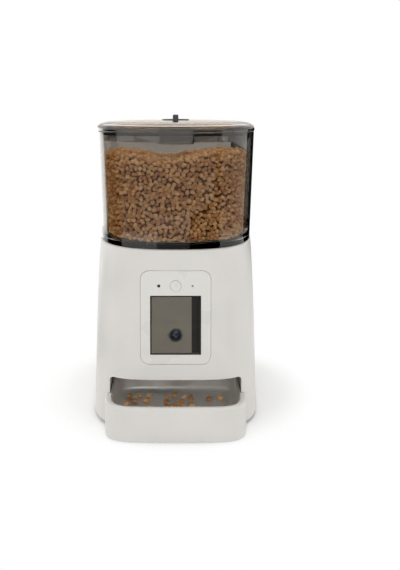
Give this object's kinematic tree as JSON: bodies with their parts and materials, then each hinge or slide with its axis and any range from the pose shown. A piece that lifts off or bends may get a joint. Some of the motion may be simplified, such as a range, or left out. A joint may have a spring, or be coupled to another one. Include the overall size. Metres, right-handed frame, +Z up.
{
  "type": "automatic pet feeder with camera",
  "caption": "Floor-standing dry-food feeder: smoked hopper with locking lid, white housing with camera panel, motor-driven feed rotor, chute and pull-out bowl tray.",
  "frame": {"origin": "bottom centre of the whole part, on the floor under its feet", "axes": "+Z up; -Y to the front, where the panel and the bowl are; +X to the right seen from the front"},
  "size_m": [0.1838, 0.2064, 0.3304],
  "materials": {
    "white_abs": "fine satin moulded ABS",
    "white_panel": "smooth moulded ABS",
    "smoked_clear": "polished smoked clear plastic",
    "smoked_window": "polished dark acrylic",
    "lens_glass": "coated lens glass",
    "black_plastic": "satin moulded plastic",
    "light_pipe": "clear light guide",
    "base_grey": "textured moulded ABS",
    "foot_rubber": "matt rubber",
    "rotor_rubber": "soft silicone",
    "cup_plastic": "moulded plastic",
    "bowl_steel": "satin stainless sheet",
    "steel_parts": "plated steel",
    "bush_brass": "turned brass",
    "board_green": "lacquered board",
    "cell_wrap": "plain shrink sleeve",
    "desiccant_cloth": "non-woven pouch"
  },
  "bodies": {
    "base": {"body_shell": "white_abs", "hopper_seat": "white_abs", "bay_liner": "white_abs", "discharge_chute": "white_abs", "front_panel": "white_panel", "panel_window": "smoked_window", "lens_glass": "lens_glass", "lens_barrel": "black_plastic", "light_sensor": "black_plastic", "power_inlet": "black_plastic", "push_switch": "black_plastic", "speaker": "black_plastic", "status_light": "light_pipe", "base_plate": "base_grey", "battery_box": "base_grey", "battery_door": "base_grey", "rubber_feet": "foot_rubber", "rotor_cup": "cup_plastic", "base_screws": "steel_parts", "board_screws": "steel_parts", "cup_screws": "steel_parts", "motor_screws": "steel_parts", "door_screw": "steel_parts", "gear_motor": "steel_parts", "inlet_nut": "steel_parts", "battery_contacts": "steel_parts", "shaft_bush": "bush_brass", "control_board": "board_green", "main_board": "board_green", "backup_cells": "cell_wrap"},
    "hopper": {"hopper": "smoked_clear", "hopper_floor": "smoked_clear"},
    "lid": {"lid": "smoked_clear", "lid_seal": "foot_rubber"},
    "knob": {"lock_knob": "black_plastic", "bayonet_collar": "black_plastic", "desiccant_basket": "black_plastic", "desiccant_pack": "desiccant_cloth"},
    "tray": {"food_tray": "white_abs", "steel_bowl": "bowl_steel"},
    "button": {"feed_button": "white_panel", "switch_plunger": "black_plastic"},
    "rotor": {"feed_rotor": "rotor_rubber", "drive_shaft": "steel_parts"}
  },
  "joints": [
    {"name": "hopper_lift", "type": "slide", "parent": "base", "child": "hopper", "axis": [0, 0, 1], "range_m": [0, 0.08]},
    {"name": "lid_lift", "type": "slide", "parent": "hopper", "child": "lid", "axis": [0, 0, 1], "range_m": [0, 0.06]},
    {"name": "knob_turn", "type": "hinge", "parent": "lid", "child": "knob", "pos_m": [0, 0.01125, 0.318], "axis": [0, 0, 1], "range_deg": [0, 90]},
    {"name": "tray_slide", "type": "slide", "parent": "base", "child": "tray", "axis": [0, -1, 0], "range_m": [0, 0.115]},
    {"name": "button_press", "type": "slide", "parent": "base", "child": "button", "axis": [0, 0.9995, -0.0318], "range_m": [0, 0.0008], "stiffness_N_per_m": 800},
    {"name": "rotor_spin", "type": "hinge", "parent": "base", "child": "rotor", "pos_m": [0, 0.01125, 0.14], "axis": [0, 0, 1], "continuous": true}
  ]
}
